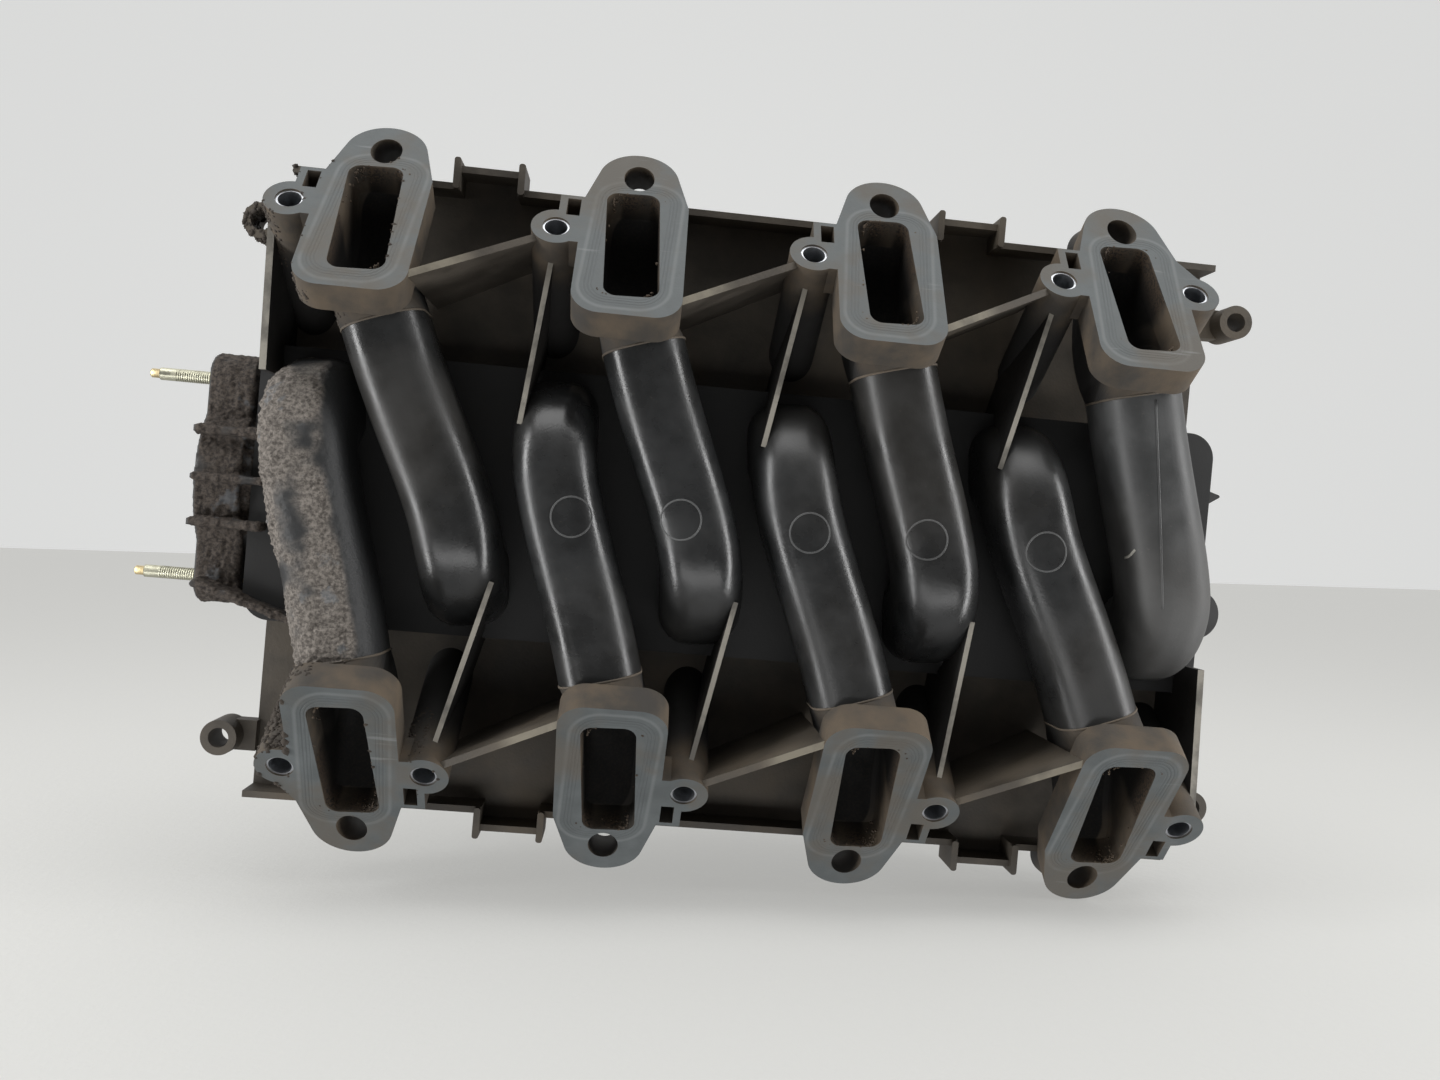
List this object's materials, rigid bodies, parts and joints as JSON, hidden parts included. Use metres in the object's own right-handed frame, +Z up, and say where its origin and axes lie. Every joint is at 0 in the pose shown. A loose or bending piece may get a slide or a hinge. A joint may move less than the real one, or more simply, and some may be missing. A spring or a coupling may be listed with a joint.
{
  "type": "intake manifold",
  "caption": "Moulded V8 intake manifold: crossing runners under a welded plenum, slanted port flanges with injector bores and a round throttle flange with studs.",
  "frame": {"origin": "centre of the throttle bore on the throttle flange face", "axes": "+X out of the throttle bore, forward in the car; +Y to the left bank; +Z up as installed"},
  "size_m": [0.5159, 0.3268, 0.2063],
  "materials": {
    "nylon": "glass-filled nylon, satin on the runners and matte on the faces, with oil film and road dirt",
    "sleeve_steel": "turned steel",
    "zinc_steel": "aged yellow zinc",
    "brass": "turned brass",
    "seal": "matte"
  },
  "bodies": {
    "root": {"port_flange_left_1": "nylon", "port_flange_left_2": "nylon", "port_flange_left_3": "nylon", "port_flange_left_4": "nylon", "port_flange_right_1": "nylon", "port_flange_right_2": "nylon", "port_flange_right_3": "nylon", "port_flange_right_4": "nylon", "runner_left_1": "nylon", "runner_left_2": "nylon", "runner_left_3": "nylon", "runner_left_4": "nylon", "runner_right_1": "nylon", "runner_right_2": "nylon", "runner_right_3": "nylon", "runner_right_4": "nylon", "plenum_floor": "nylon", "plenum_body": "nylon", "upper_shell": "nylon", "side_deck_left": "nylon", "side_deck_right": "nylon", "front_end_wall": "nylon", "rear_end_wall": "nylon", "gusset_left_2": "nylon", "gusset_left_3": "nylon", "gusset_left_4": "nylon", "gusset_right_1": "nylon", "gusset_right_2": "nylon", "gusset_right_3": "nylon", "throttle_neck": "nylon", "throttle_seal": "seal", "throttle_studs": "zinc_steel", "throttle_inserts": "brass", "bolt_sleeves": "sleeve_steel", "rail_inserts": "brass", "cover_inserts": "brass"}
  },
  "joints": []
}
